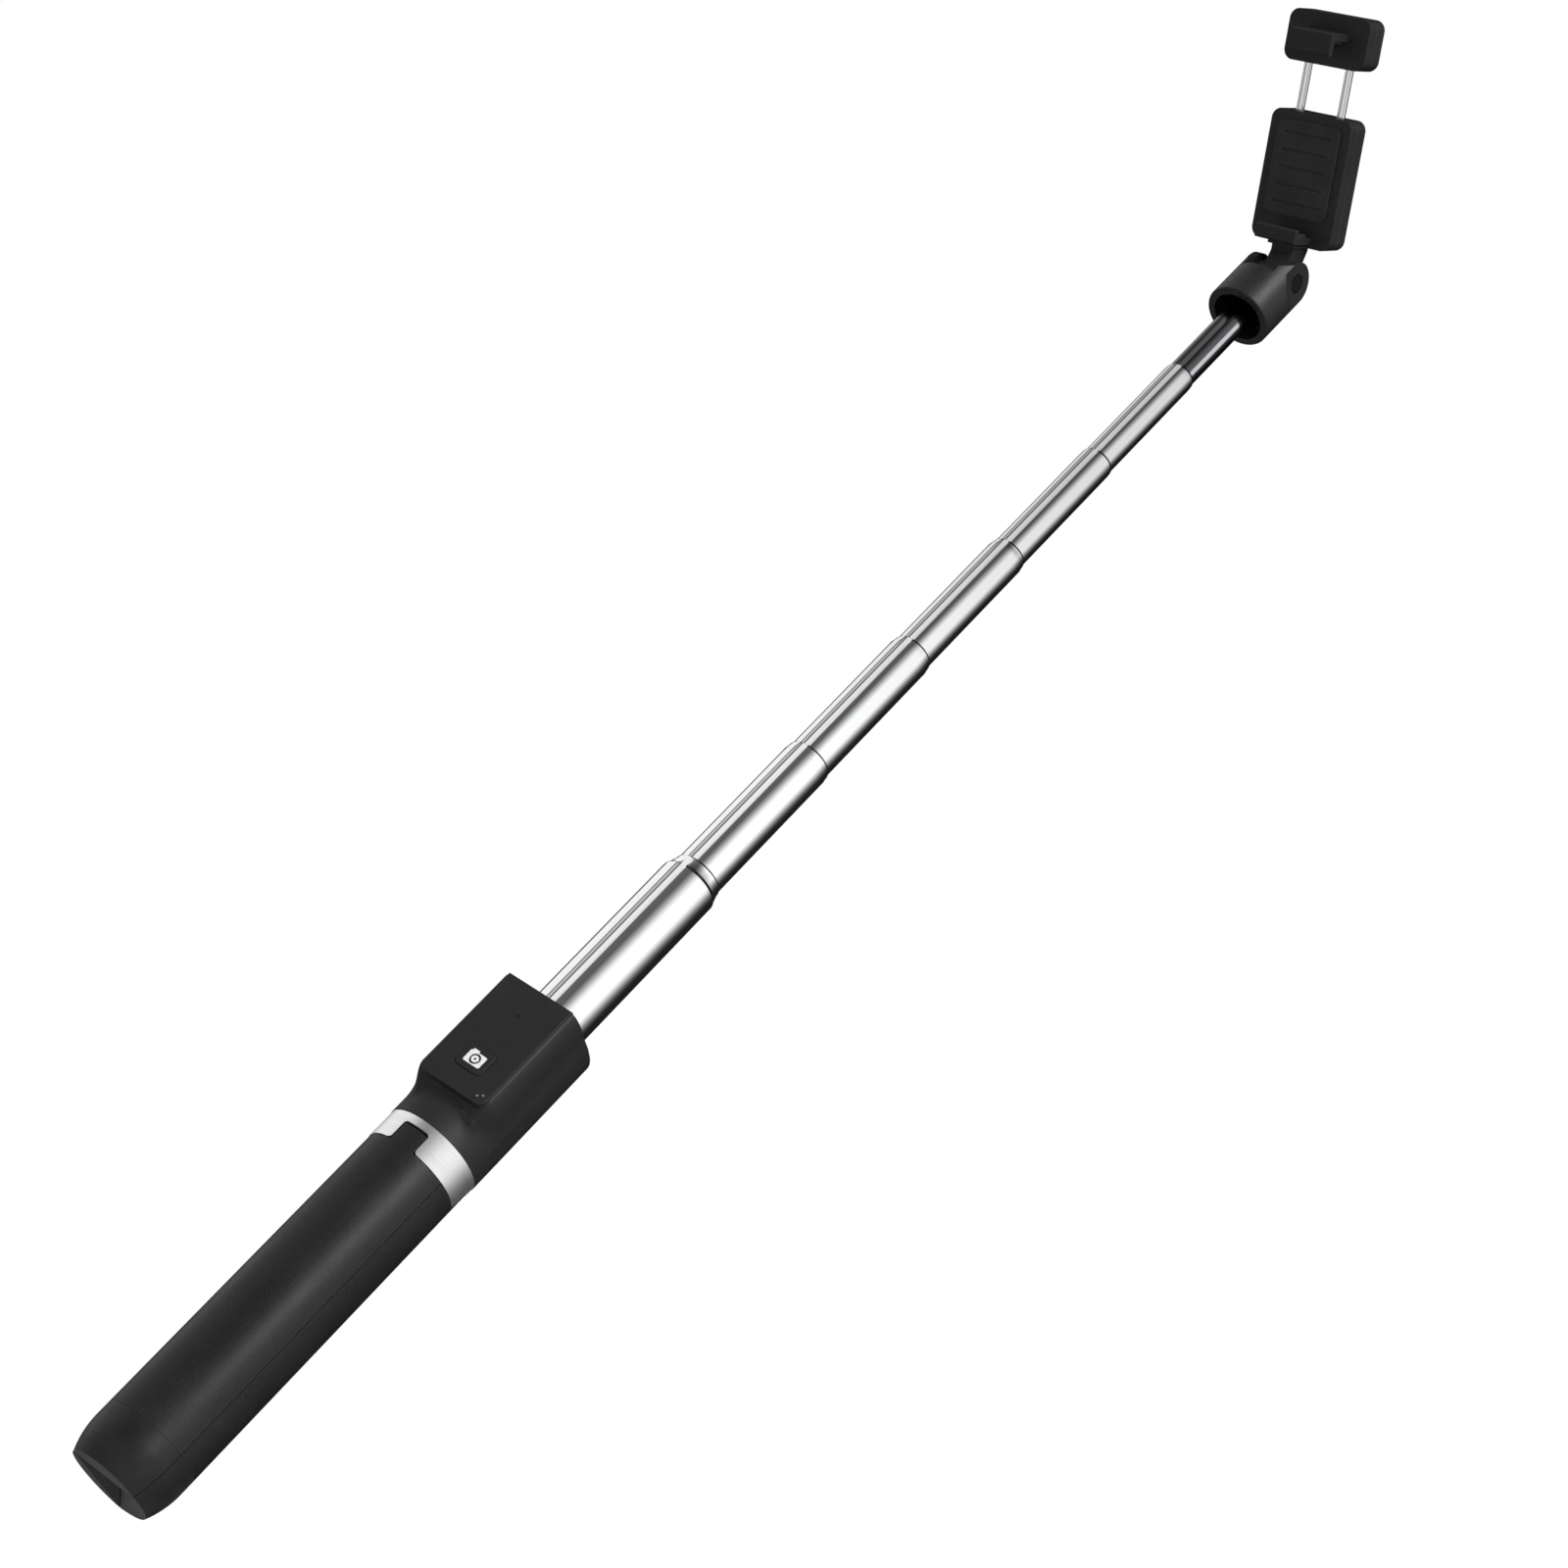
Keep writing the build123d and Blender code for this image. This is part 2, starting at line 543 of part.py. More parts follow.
def tilt_screw():
    """Cross-head screw through both ears, its head sunk in the left one."""
    seat = -SCREW_SEAT - FIT
    screw = side_bar(TILT_PIN_R, seat - 0.1, EAR_FACE - 0.1, 0, TILT_Z)
    screw += side_bar(TILT_HEAD_R, seat - TILT_HEAD_THICK, seat, 0, TILT_Z)
    for size in ((1.2, 5.2, 0.9), (1.2, 0.9, 5.2)):
        screw -= Pos(seat - TILT_HEAD_THICK, 0, TILT_Z) * Box(*size)
    return screw


def tilt_nut():
    nut = Plane.YZ.offset(SCREW_SEAT + FIT) * RegularPolygon(3.8, 6)
    hole = side_bar(TILT_PIN_R + 0.01, 5, 20, 0, TILT_Z)
    return Pos(0, 0, TILT_Z) * extrude(nut, TILT_HEAD_THICK) - hole


def friction_washers():
    """Two thin rings between the ears and the knuckle."""
    hole = side_bar(TILT_PIN_R + FIT, -20, 20, 0, TILT_Z)
    washers = []
    for middle in (-WASHER_X, WASHER_X):
        washer = side_bar(WASHER_R, middle - WASHER_HALF, middle + WASHER_HALF, 0, TILT_Z)
        washers.append(washer - hole)
    return washers


def make_head():
    save("head_cup", on_head(head_cup()))
    save("tilt_screw", on_head(tilt_screw()))
    save("tilt_nut", on_head(tilt_nut()))
    save("friction_washers", *[on_head(w) for w in friction_washers()])


# ---------------------------------------------------------------- phone clamp


def tilt_arm():
    """Knuckle on the tilt screw and a short arm, off-centre and leaning back, up to the clamp."""
    side = plate_yz([(-5.0, 2.5), (5.6, 1.5), (ARM_HEEL, 11.5), (ARM_HEEL, HOUSING_BOTTOM - FIT),
                     (ARM_BACK, HOUSING_BOTTOM - FIT), (ARM_BACK, ARM_TOP), (ARM_FRONT, ARM_TOP),
                     (ARM_FRONT, 10.5)])
    half = KNUCKLE_HALF_WIDTH
    front = plate([(-half, 0), (half, 0), (half, 3), (ARM_RIGHT, 7), (ARM_RIGHT, ARM_TOP), (ARM_LEFT, ARM_TOP),
                   (ARM_LEFT, 6), (-half, 2)], 20)
    arm = side_bar(KNUCKLE_R, -half, half) + (side & front)
    return arm - side_bar(TILT_PIN_R + CLEAR, -10, 10)


def lower_jaw():
    """Shelf under the phone with a low front lip and a root that the arm is fixed to."""
    shelf_z = GAP_BOTTOM - PAD
    front = PHONE_FRONT - LIP_THICK
    shelf = block(-JAW_HALF, JAW_HALF, front, BODY_FRONT - FIT, shelf_z - 2.4, shelf_z)
    lip = block(-JAW_HALF, JAW_HALF, front, PHONE_FRONT, shelf_z - 2.4, GAP_BOTTOM + LOWER_LIP)
    jaw = shelf + lip
    jaw = fillet(jaw.edges().filter_by(Axis.X).group_by(Axis.Y)[0], 0.7)
    jaw += block(ARM_LEFT - ROOT_WALL, ARM_RIGHT + ROOT_WALL, ARM_FRONT - ROOT_WALL, BODY_FRONT - FIT,
                 HOUSING_BOTTOM, shelf_z - 2.3)
    return jaw - block(ARM_LEFT - FIT, ARM_RIGHT + FIT, ARM_FRONT - FIT, ARM_BACK + FIT, 10, ARM_TOP + FIT)


def rounded_body(bottom, top, front, rear):
    """The clamp's wide back body: a box with round corners as seen from the front."""
    body = block(-BODY_HALF, BODY_HALF, front, rear, bottom, top)
    return fillet(body.edges().filter_by(Axis.Y), 4.0)


def at_rods(shape):
    """Copies of a shape on the axes of the two guide rods."""
    return [Pos(side * ROD_X, BODY_SPLIT, 0) * shape for side in (-1, 1)]


def housing():
    """The lower back body as one closed form with its spring chamber."""
    body = rounded_body(HOUSING_BOTTOM, HOUSING_TOP, BODY_FRONT, BODY_REAR)
    body = fillet(body.edges().group_by(Axis.Y)[-1], 1.4)
    chamber = block(-14.6, 14.6, BODY_FRONT + 1.6, BODY_REAR - 1.6, HOUSING_BOTTOM + 2, HOUSING_TOP - 1.5)
    body -= chamber
    for hole in at_rods(rod(ROD_R + 0.25, HOUSING_TOP - 3, HOUSING_TOP + 1)):
        body -= hole
    return body


def housing_front():
    front = housing() & block(-30, 30, 0, BODY_SPLIT - FIT, 0, 110)
    for z in CLAMP_SCREW_Z:
        front += Pos(0, 9.4, z) * Rot(90, 0, 0) * Cylinder(2.2, 3.6)
    recess = block(-13.6, 13.6, 0, BODY_FRONT + 0.6, 23.4, 58.6)
    front -= fillet(recess.edges().filter_by(Axis.Y), 3.0)
    for screw in housing_screws(FIT):
        front -= screw
    return front


def housing_rear_cover():
    rear = housing() & block(-30, 30, BODY_SPLIT, 30, 0, 110)
    for screw in housing_screws(FIT):
        rear -= screw
    return rear


def cover_screw(z, length, gap=0.0):
    """A screw sunk in the rear face at this height; with a gap, the hole that takes it."""
    head = Rot(90, 0, 0) * Cylinder(CLAMP_SCREW_HEAD_R + gap, 1.0)
    shank = Rot(90, 0, 0) * Cylinder(CLAMP_SCREW_R + gap, length)
    screw = Pos(0, BODY_REAR - 0.1 - length / 2, z) * shank + Pos(0, BODY_REAR - 0.5, z) * head
    if gap:
        return screw + Pos(0, BODY_REAR + 0.3, z) * head
    cross = Box(2.4, 0.8, 0.5) + Box(0.5, 0.8, 2.4)
    return screw - Pos(0, BODY_REAR - 0.1, z) * cross


def housing_screws(gap=0.0):
    return [cover_screw(z, 9.0, gap) for z in CLAMP_SCREW_Z]


def back_pad():
    pad = block(-13.5, 13.5, PHONE_BACK, BODY_FRONT + 0.55, 23.5, 58.5)
    pad = fillet(pad.edges().filter_by(Axis.Y), 2.9)
    for step in range(5):
        z = 28 + 6.5 * step
        pad -= block(-10, 10, PHONE_BACK - 1, PHONE_BACK + 0.4, z - 0.6, z + 0.6)
    return pad


def guide_block():
    """Bush that guides both rods at the top of the housing."""
    body = block(-14.4, 14.4, BODY_FRONT + 1.7, BODY_REAR - 1.7, 56.0, HOUSING_TOP - 1.6)
    for hole in at_rods(rod(ROD_R + CLEAR, 50, 70)):
        body -= hole
    return body


def jaw_pad(z0, z1):
    pad = block(-7.9, 7.9, PHONE_FRONT + 0.2, PHONE_BACK - 0.3, z0, z1)
    return fillet(pad.edges().filter_by(Axis.Z), 1.2)


def upper_cap():
    """The upper back body as one closed form, holding the tops of the rods."""
    body = rounded_body(CAP_BOTTOM, CAP_TOP, BODY_FRONT, BODY_REAR)
    body = fillet(body.edges().group_by(Axis.Y)[-1], 1.4)
    for hole in at_rods(rod(ROD_R + FIT, CAP_BOTTOM - 1, ROD_TOP + FIT)):
        body -= hole
    return body


def cap_screw(gap=0.0):
    return cover_screw((CAP_BOTTOM + CAP_TOP) / 2, 8.0, gap)


def upper_jaw():
    """Front half of the upper body with its shelf and the lip over the phone's edge."""
    shelf_z = GAP_BOTTOM + GAP + PAD
    front = PHONE_FRONT - LIP_THICK
    jaw = block(-JAW_HALF, JAW_HALF, front, BODY_FRONT + 0.5, shelf_z, shelf_z + 2.6)
    jaw += block(-JAW_HALF, JAW_HALF, front, PHONE_FRONT, GAP_BOTTOM + GAP - UPPER_LIP, shelf_z + 2.6)
    jaw = fillet(jaw.edges().filter_by(Axis.X).group_by(Axis.Y)[0], 0.7)
    jaw += upper_cap() & block(-30, 30, 0, BODY_SPLIT - FIT, 0, 110)
    return jaw - cap_screw(FIT)


def upper_rear_cover():
    return (upper_cap() & block(-30, 30, BODY_SPLIT, 30, 0, 110)) - cap_screw(FIT)


def guide_rods():
    """The two rods, each with a groove for its clip."""
    groove = tube(3, CLIP_INNER_R - 0.01, CLIP_BOTTOM - FIT, CLIP_TOP + FIT)
    return at_rods(rod(ROD_R, ROD_BOTTOM, ROD_TOP) - groove)


def rod_clips():
    """Retaining rings at the rods' lower ends, which press on the springs."""
    return at_rods(tube(CLIP_R, CLIP_INNER_R, CLIP_BOTTOM, CLIP_TOP))


def clamp_springs():
    """Compression springs round the rods, between the clips and the guide block."""
    bottom = ROD_BOTTOM + 2.0
    height = SPRING_TOP - bottom - 2 * SPRING_WIRE
    path = Helix(pitch=height / SPRING_COILS, height=height, radius=SPRING_R)
    spring = sweep(Plane(origin=path @ 0, z_dir=path % 0) * Circle(SPRING_WIRE), path, is_frenet=True)
    return at_rods(Pos(0, 0, bottom + SPRING_WIRE) * spring)


def make_clamp():
    save("tilt_arm", in_clamp(tilt_arm()))
    save("lower_jaw", in_clamp(lower_jaw()))
    save("lower_jaw_pad", in_clamp(jaw_pad(GAP_BOTTOM - PAD, GAP_BOTTOM)))
    save("clamp_housing_front", in_clamp(housing_front()))
    save("clamp_housing_rear_cover", in_clamp(housing_rear_cover()))
    save("clamp_housing_screws", *[in_clamp(s) for s in housing_screws()])
    save("phone_back_pad", in_clamp(back_pad()))
    save("rod_guide_block", in_clamp(guide_block()))
    save("upper_jaw", in_clamp(upper_jaw()))
    save("upper_jaw_rear_cover", in_clamp(upper_rear_cover()))
    save("upper_jaw_screw", in_clamp(cap_screw()))
    save("upper_jaw_pad", in_clamp(jaw_pad(GAP_BOTTOM + GAP, GAP_BOTTOM + GAP + PAD)))
    save("clamp_guide_rods", *[in_clamp(r) for r in guide_rods()])
    save("guide_rod_clips", *[in_clamp(c) for c in rod_clips()])
    save("clamp_springs", *[in_clamp(s) for s in clamp_springs()])


make_legs()
save("hinge_ring", hinge_ring())
save("leg_hub", hub())
save("hub_screws", *[Rot(0, 0, a) * Pos(HUB_SCREW_R, 0, 0) * hub_screw() for a in HUB_SCREW_ANGLES])
save("tube_guide", tube_guide())
save("collar_end_bushing", end_bushing())
save("collar_shell", collar_shell())
make_remote()
make_tubes()
make_head()
make_clamp()
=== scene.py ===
import bpy
import json
import math
from mathutils import Matrix, Vector

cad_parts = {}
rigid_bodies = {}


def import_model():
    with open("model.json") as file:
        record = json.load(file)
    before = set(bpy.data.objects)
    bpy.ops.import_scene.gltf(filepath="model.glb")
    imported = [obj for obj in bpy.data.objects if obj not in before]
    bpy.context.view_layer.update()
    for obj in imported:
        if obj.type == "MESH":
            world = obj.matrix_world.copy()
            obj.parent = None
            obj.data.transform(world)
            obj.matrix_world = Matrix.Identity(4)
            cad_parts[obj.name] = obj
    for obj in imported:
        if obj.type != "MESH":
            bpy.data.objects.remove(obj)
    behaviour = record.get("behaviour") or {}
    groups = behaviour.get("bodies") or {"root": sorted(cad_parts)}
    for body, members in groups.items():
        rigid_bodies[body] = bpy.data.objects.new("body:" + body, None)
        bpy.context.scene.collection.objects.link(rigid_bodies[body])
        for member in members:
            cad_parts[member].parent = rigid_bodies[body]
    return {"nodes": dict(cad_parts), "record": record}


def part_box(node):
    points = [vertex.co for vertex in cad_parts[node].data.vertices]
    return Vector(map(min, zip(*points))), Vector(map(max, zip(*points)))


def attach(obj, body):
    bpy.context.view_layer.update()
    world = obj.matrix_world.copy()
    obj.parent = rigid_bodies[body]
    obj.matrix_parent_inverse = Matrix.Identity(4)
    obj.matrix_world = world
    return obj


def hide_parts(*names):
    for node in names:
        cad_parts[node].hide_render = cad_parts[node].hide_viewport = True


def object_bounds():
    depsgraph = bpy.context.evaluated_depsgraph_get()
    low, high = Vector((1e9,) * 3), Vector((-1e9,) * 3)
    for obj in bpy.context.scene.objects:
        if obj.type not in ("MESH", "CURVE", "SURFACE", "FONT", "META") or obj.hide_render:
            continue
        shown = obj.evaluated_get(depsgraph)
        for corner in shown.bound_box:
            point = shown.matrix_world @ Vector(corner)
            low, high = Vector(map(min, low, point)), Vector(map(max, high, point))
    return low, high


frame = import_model()
nodes = frame["nodes"]
cad_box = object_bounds()

# ---------------------------------------------------------------- places, from the frame

foot_low, foot_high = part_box("front_foot_pad")
FOOT_SEAM = foot_high.z

# ---------------------------------------------------------------- camera

# The eye is below the feet, in front and to the right of the remote, and looks up along the stick.
EYE_RADIUS = 0.940
EYE_BELOW_FEET = 0.188
EYE_AZIMUTH = math.radians(28.6)
LOOK_UP = math.radians(27.42)
LENS = 72.5
STICK_LEAN = math.radians(44.01)
STICK_ASIDE = 0.0005


def make_camera():
    """A camera that sees the stick run from the lower left corner up to the right."""
    level = Vector((math.sin(EYE_AZIMUTH), -math.cos(EYE_AZIMUTH), 0))
    right = Vector((math.cos(EYE_AZIMUTH), math.sin(EYE_AZIMUTH), 0))
    ahead = -level * math.cos(LOOK_UP) + Vector((0, 0, math.sin(LOOK_UP)))
    up = right.cross(ahead)
    image_right = right * math.cos(STICK_LEAN) + up * math.sin(STICK_LEAN)
    image_up = up * math.cos(STICK_LEAN) - right * math.sin(STICK_LEAN)
    eye = level * EYE_RADIUS + Vector((0, 0, FOOT_SEAM - EYE_BELOW_FEET)) - right * STICK_ASIDE
    camera = bpy.data.objects.new("camera", bpy.data.cameras.new("camera"))
    turn = Matrix((image_right, image_up, -ahead)).transposed().to_4x4()
    camera.matrix_world = Matrix.Translation(eye) @ turn
    camera.data.lens = LENS
    camera.data.clip_start = 0.01
    bpy.context.scene.collection.objects.link(camera)
    bpy.context.scene.camera = camera


# ---------------------------------------------------------------- material kit


class Surface:
    """A new node material with a Principled shader, and short ways to add nodes to it."""

    def __init__(self, name):
        self.material = bpy.data.materials.new(name)
        self.material.use_nodes = True
        self.nodes = self.material.node_tree.nodes
        self.links = self.material.node_tree.links
        self.shader = self.nodes["Principled BSDF"]
        self.place = self.nodes.new("ShaderNodeTexCoord").outputs["Object"]

    def link(self, source, target):
        self.links.new(source, target)

    def set(self, **values):
        for key, value in values.items():
            self.shader.inputs[key.replace("_", " ")].default_value = value

    def stretched(self, scale):
        """Object coordinates, scaled along each axis."""
        mapping = self.nodes.new("ShaderNodeMapping")
        mapping.inputs["Scale"].default_value = scale
        self.link(self.place, mapping.inputs["Vector"])
        return mapping.outputs["Vector"]

    def noise(self, scale, detail=4.0, roughness=0.55, along=(1, 1, 1)):
        """Noise with `scale` features a metre."""
        node = self.nodes.new("ShaderNodeTexNoise")
        node.inputs["Scale"].default_value = scale
        node.inputs["Detail"].default_value = detail
        node.inputs["Roughness"].default_value = roughness
        self.link(self.stretched(along), node.inputs["Vector"])
        return node.outputs["Fac"]

    def by_height(self, stops):
        """A value picked by height up the stick; stops are (metres, value)."""
        parts = self.nodes.new("ShaderNodeSeparateXYZ")
        self.link(self.place, parts.inputs[0])
        return self.ramp(parts.outputs["Z"], stops)

    def cells(self, scale):
        """Rounded cells, as spark-eroded moulds leave them."""
        node = self.nodes.new("ShaderNodeTexVoronoi")
        node.feature = "SMOOTH_F1"
        node.inputs["Scale"].default_value = scale
        self.link(self.place, node.inputs["Vector"])
        return node.outputs["Distance"]

    def ramp(self, factor, stops):
        """Grey or coloured values picked by a factor; stops are (place, value or colour)."""
        node = self.nodes.new("ShaderNodeValToRGB")
        elements = node.color_ramp.elements
        while len(elements) < len(stops):
            elements.new(0.5)
        for element, (place, value) in zip(elements, stops):
            colour = value if isinstance(value, tuple) else (value,) * 3
            element.position = place
            element.color = (*colour, 1.0)
        self.link(factor, node.inputs["Fac"])
        return node.outputs["Color"]

    def mix(self, factor, low, high):
        """low where the factor is 0, high where it is 1; each is a colour or a socket."""
        node = self.nodes.new("ShaderNodeMix")
        node.data_type = "RGBA"
        self.link(factor, node.inputs["Factor"])
        for value, socket in ((low, node.inputs[6]), (high, node.inputs[7])):
            if isinstance(value, tuple):
                socket.default_value = (*value, 1.0)
            else:
                self.link(value, socket)
        return node.outputs[2]

    def math(self, operation, first, second):
        node = self.nodes.new("ShaderNodeMath")
        node.operation = operation
        for value, socket in ((first, node.inputs[0]), (second, node.inputs[1])):
            if isinstance(value, (int, float)):
                socket.default_value = value
            else:
                self.link(value, socket)
        return node.outputs[0]

    def edges(self, radius, low, high):
        """1 on edges and 0 on faces: how far a rounded normal leans from the true one. The edges are worn, and on
        moulded plastic they are partly a painted highlight.
        """
        bevel = self.nodes.new("ShaderNodeBevel")
        bevel.inputs["Radius"].default_value = radius
        true_normal = self.nodes.new("ShaderNodeNewGeometry").outputs["Normal"]
        dot = self.nodes.new("ShaderNodeVectorMath")
        dot.operation = "DOT_PRODUCT"
        self.link(bevel.outputs["Normal"], dot.inputs[0])
        self.link(true_normal, dot.inputs[1])
        return self.ramp(dot.outputs["Value"], [(low, 1.0), (high, 0.0)])

    def bump(self, height, distance, strength=1.0):
        node = self.nodes.new("ShaderNodeBump")
        node.inputs["Strength"].default_value = strength
        node.inputs["Distance"].default_value = distance
        self.link(height, node.inputs["Height"])
        self.link(node.outputs["Normal"], self.shader.inputs["Normal"])


def moulded(name, colour, wear_and_edge_highlight, roughness, grain, depth):
    """Moulded black plastic: fine spark-eroded grain, faint cloudiness, smudges, and paler edges that are partly wear
    and partly a painted highlight.
    """
    s = Surface(name)
    cloud = s.ramp(s.noise(55, 3), [(0.35, 0.0), (0.68, 1.0)])
    base = s.mix(cloud, colour, tuple(c * 1.18 for c in colour))
    specks = s.ramp(s.noise(1900, 2), [(0.52, 0.0), (0.80, 1.0)])
    base = s.mix(s.math("MULTIPLY", specks, 0.35), base, wear_and_edge_highlight)
    # Paler edges: partly wear, partly a painted highlight of the edges catching the light.
    edge = s.math("MULTIPLY", s.edges(0.0004, 0.86, 0.985), s.noise(420, 5, 0.7))
    base = s.mix(edge, base, wear_and_edge_highlight)
    s.link(base, s.shader.inputs["Base Color"])
    smudge = s.ramp(s.noise(26, 5, 0.62), [(0.38, roughness - 0.05), (0.66, roughness + 0.06)])
    s.link(smudge, s.shader.inputs["Roughness"])
    s.set(Specular_IOR_Level=0.16)
    height = s.math("ADD", s.cells(grain), s.math("MULTIPLY", s.noise(grain * 2.4, 2), 0.6))
    s.bump(height, depth, 0.5)
    return s.material


# Painted shade on the chrome tubes: how far their colour darkens towards the head, by height in metres.
HEAD_SHADE_BY_HEIGHT = [(0.30, 0.0), (0.40, 0.52), (0.455, 0.80), (0.53, 1.0)]


def chrome(name, colour, head_shaded, roughness):
    """Bright drawn steel tube, darkened up the stick by painted shade near the head: draw lines along it, wipe marks
    and a slide's rub marks.
    """
    s = Surface(name)
    lines = s.noise(900, 3, 0.5, along=(1, 1, 0.012))
    fog = s.noise(34, 5, 0.6, along=(1, 1, 0.25))
    # Painted shade: the tube's colour darkens towards the head.
    head_shaded_tint = s.mix(s.by_height(HEAD_SHADE_BY_HEIGHT), colour, head_shaded)
    drawn = s.math("MULTIPLY", lines, 0.10)
    s.link(s.mix(drawn, head_shaded_tint, (0.20, 0.20, 0.205)), s.shader.inputs["Base Color"])
    veil = s.ramp(fog, [(0.35, roughness), (0.70, roughness + 0.06)])
    rough = s.math("ADD", veil, s.ramp(lines, [(0.55, 0.0), (0.80, 0.05)]))
    s.link(rough, s.shader.inputs["Roughness"])
    s.set(Metallic=1.0)
    s.bump(lines, 0.000003, 0.35)
    return s.material


def satin_silver(name):
    """Anodised ring turned on a lathe: fine rings round the stick's axis."""
    s = Surface(name)
    rings = s.noise(1500, 3, 0.6, along=(0.02, 0.02, 1))
    sparkle = s.noise(2600, 2)
    base = s.mix(rings, (0.93, 0.935, 0.94), (0.82, 0.825, 0.83))
    edge = s.edges(0.0003, 0.88, 0.99)
    base = s.mix(s.math("MULTIPLY", edge, 0.7), base, (0.92, 0.925, 0.93))
    s.link(base, s.shader.inputs["Base Color"])
    s.link(s.ramp(s.math("ADD", s.math("MULTIPLY", rings, 0.6), s.math("MULTIPLY", sparkle, 0.4)),
                  [(0.3, 0.36), (0.7, 0.50)]), s.shader.inputs["Roughness"])
    s.set(Metallic=1.0)
    s.bump(rings, 0.000008, 0.5)
    return s.material


def rubber(name, colour, roughness=0.72):
    """Soft rubber: matt, slightly dusty, with a fine pebbled skin."""
    s = Surface(name)
    dust = s.ramp(s.noise(120, 6, 0.65), [(0.42, 0.0), (0.75, 1.0)])
    pale = tuple(c * 1.3 + 0.002 for c in colour)
    base = s.mix(dust, colour, pale)
    edge = s.math("MULTIPLY", s.edges(0.0005, 0.84, 0.98), s.noise(300, 4, 0.7))
    base = s.mix(edge, base, tuple(c * 2.0 + 0.008 for c in colour))
    s.link(base, s.shader.inputs["Base Color"])
    s.link(s.ramp(s.noise(70, 4), [(0.35, roughness - 0.08), (0.7, roughness + 0.08)]), s.shader.inputs["Roughness"])
    s.set(Specular_IOR_Level=0.18, Sheen_Weight=0.02, Sheen_Roughness=0.45)
    s.bump(s.cells(2600), 0.00004, 0.6)
    return s.material


def turned_steel(name, colour, roughness):
    """Plated or blacked steel of screws, pins and springs, with rubbed edges."""
    s = Surface(name)
    tarnish = s.ramp(s.noise(260, 5, 0.65), [(0.38, 0.0), (0.72, 1.0)])
    base = s.mix(tarnish, colour, tuple(c * 0.8 for c in colour))
    edge = s.math("MULTIPLY", s.edges(0.00018, 0.85, 0.985), s.noise(900, 4, 0.7))
    base = s.mix(edge, base, tuple(min(c * 1.4 + 0.12, 0.9) for c in colour))
    s.link(base, s.shader.inputs["Base Color"])
    s.link(s.ramp(s.noise(1400, 3), [(0.3, roughness - 0.06), (0.7, roughness + 0.08)]),
           s.shader.inputs["Roughness"])
    s.set(Metallic=1.0)
    s.bump(s.noise(3500, 2), 0.00001, 0.4)
    return s.material


def white_inlay(name):
    """White moulded inlay with a trace of grime in it."""
    s = Surface(name)
    grime = s.ramp(s.noise(700, 5, 0.7), [(0.45, 0.0), (0.8, 1.0)])
    s.link(s.mix(grime, (0.62, 0.625, 0.63), (0.48, 0.485, 0.49)), s.shader.inputs["Base Color"])
    s.link(s.ramp(s.noise(300, 3), [(0.3, 0.3), (0.7, 0.42)]), s.shader.inputs["Roughness"])
    s.bump(s.noise(2200, 2), 0.00001, 0.4)
    return s.material


def board_green(name):
    """Solder mask with faint copper tracks under it."""
    s = Surface(name)
    tracks = s.ramp(s.noise(420, 1, 0.3, along=(1, 1, 0.08)), [(0.50, 0.0), (0.53, 1.0)])
    s.link(s.mix(tracks, (0.015, 0.10, 0.045), (0.03, 0.19, 0.09)), s.shader.inputs["Base Color"])
    s.link(s.ramp(s.noise(900, 2), [(0.3, 0.25), (0.7, 0.35)]), s.shader.inputs["Roughness"])
    s.bump(tracks, 0.00003, 0.5)
    return s.material


def clear_plastic(name):
    """Smoked light pipe of an unlit lamp."""
    s = Surface(name)
    frost = s.noise(1500, 3)
    s.link(s.mix(frost, (0.02, 0.021, 0.022), (0.035, 0.036, 0.038)), s.shader.inputs["Base Color"])
    s.link(s.ramp(frost, [(0.3, 0.15), (0.7, 0.4)]), s.shader.inputs["Roughness"])
    s.set(Transmission_Weight=0.5, IOR=1.49)
    return s.material


# ---------------------------------------------------------------- studio

FLOOR_DROP = 0.45       # the stick is held in the hand, well above the floor
FLOOR_SIZE = 6.0

# Brightness of the studio's walls: degrees to the right of the camera, as seen from the stick, and brightness.
# A dark screen stands to the right and a grey one to the left of the camera; all else is white.
WALLS = [(-178, 0.03), (-152, 0.05), (-142, 1.0), (-128, 1.0), (-78, 0.95), (-68, 0.60), (-60, 0.22), (-50, 0.13),
         (-32, 0.11), (-23, 0.18), (-15, 0.36), (-8, 0.52), (-1, 0.78), (6, 0.98), (12, 1.15), (58, 1.15), (66, 0.90),
         (74, 0.62), (83, 0.33), (93, 0.14), (105, 0.035), (118, 0.015), (175, 0.012)]


# The ceiling is dark, so that edges that face up show as dark lines.
CEILING_FROM, CEILING_FULL = math.radians(42), math.radians(53)
CEILING_LIGHT = 0.05


